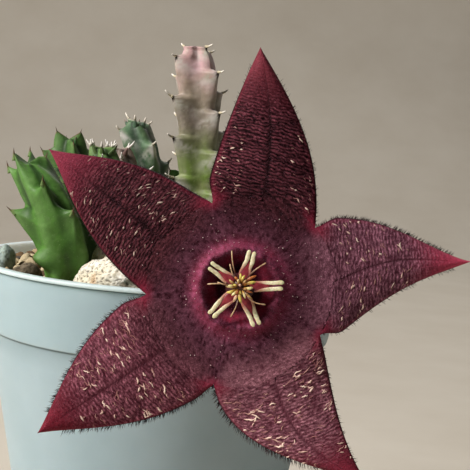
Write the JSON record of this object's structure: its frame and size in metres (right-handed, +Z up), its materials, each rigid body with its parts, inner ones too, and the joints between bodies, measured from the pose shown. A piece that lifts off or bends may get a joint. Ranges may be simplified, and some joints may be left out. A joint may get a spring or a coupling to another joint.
{
  "type": "potted flowering stapelia",
  "caption": "Succulent with toothed, angled stems and a large wrinkled maroon star flower, growing in gritty soil in a round tapered plastic nursery pot.",
  "frame": {"origin": "the middle of the pot's flat underside, on the axis of the pot", "axes": "+Z up along the pot's axis, -Y to the front where the flower hangs, +X to the right seen from the front"},
  "size_m": [0.0669, 0.0672, 0.0823],
  "materials": {
    "pot_plastic": "smooth moulded grey-blue plastic, faintly scuffed",
    "soil": "coarse gritty mix of pumice, grit and compost",
    "pale_stone": "porous pale pumice",
    "brown_stone": "rough brown grit",
    "dark_stone": "worn dark grey pebble",
    "green_stem": "waxy fresh green skin of a succulent stem, finely speckled",
    "dark_stem": "waxy dark green skin of a succulent stem",
    "grey_stem": "dull grey-purple skin of a sun-stressed succulent stem",
    "petal": "wrinkled maroon petal skin with a purple bloom and fine hairs",
    "corona_cream": "fleshy cream corona lobes with red channels",
    "corona_yellow": "fleshy yellow-tan corona horns"
  },
  "bodies": {
    "root": {"pot": "pot_plastic", "soil": "soil", "pumice_lump": "pale_stone", "pale_pebble": "pale_stone", "brown_pebble": "brown_stone", "dark_pebble": "dark_stone", "right_stone": "pale_stone", "back_stone": "pale_stone", "side_pebble": "pale_stone", "rear_pebble": "pale_stone", "middle_pebble": "pale_stone", "stem_tall_grey": "grey_stem", "stem_left_green": "green_stem", "stem_left_rear": "green_stem", "stem_back_left": "green_stem", "stem_middle_short": "green_stem", "stem_middle_purple": "grey_stem", "stem_middle_dark": "dark_stem", "stem_rear_small": "green_stem", "stem_flowering": "green_stem", "corolla": "petal", "corona_outer": "corona_cream", "corona_inner": "corona_yellow"}
  },
  "joints": []
}
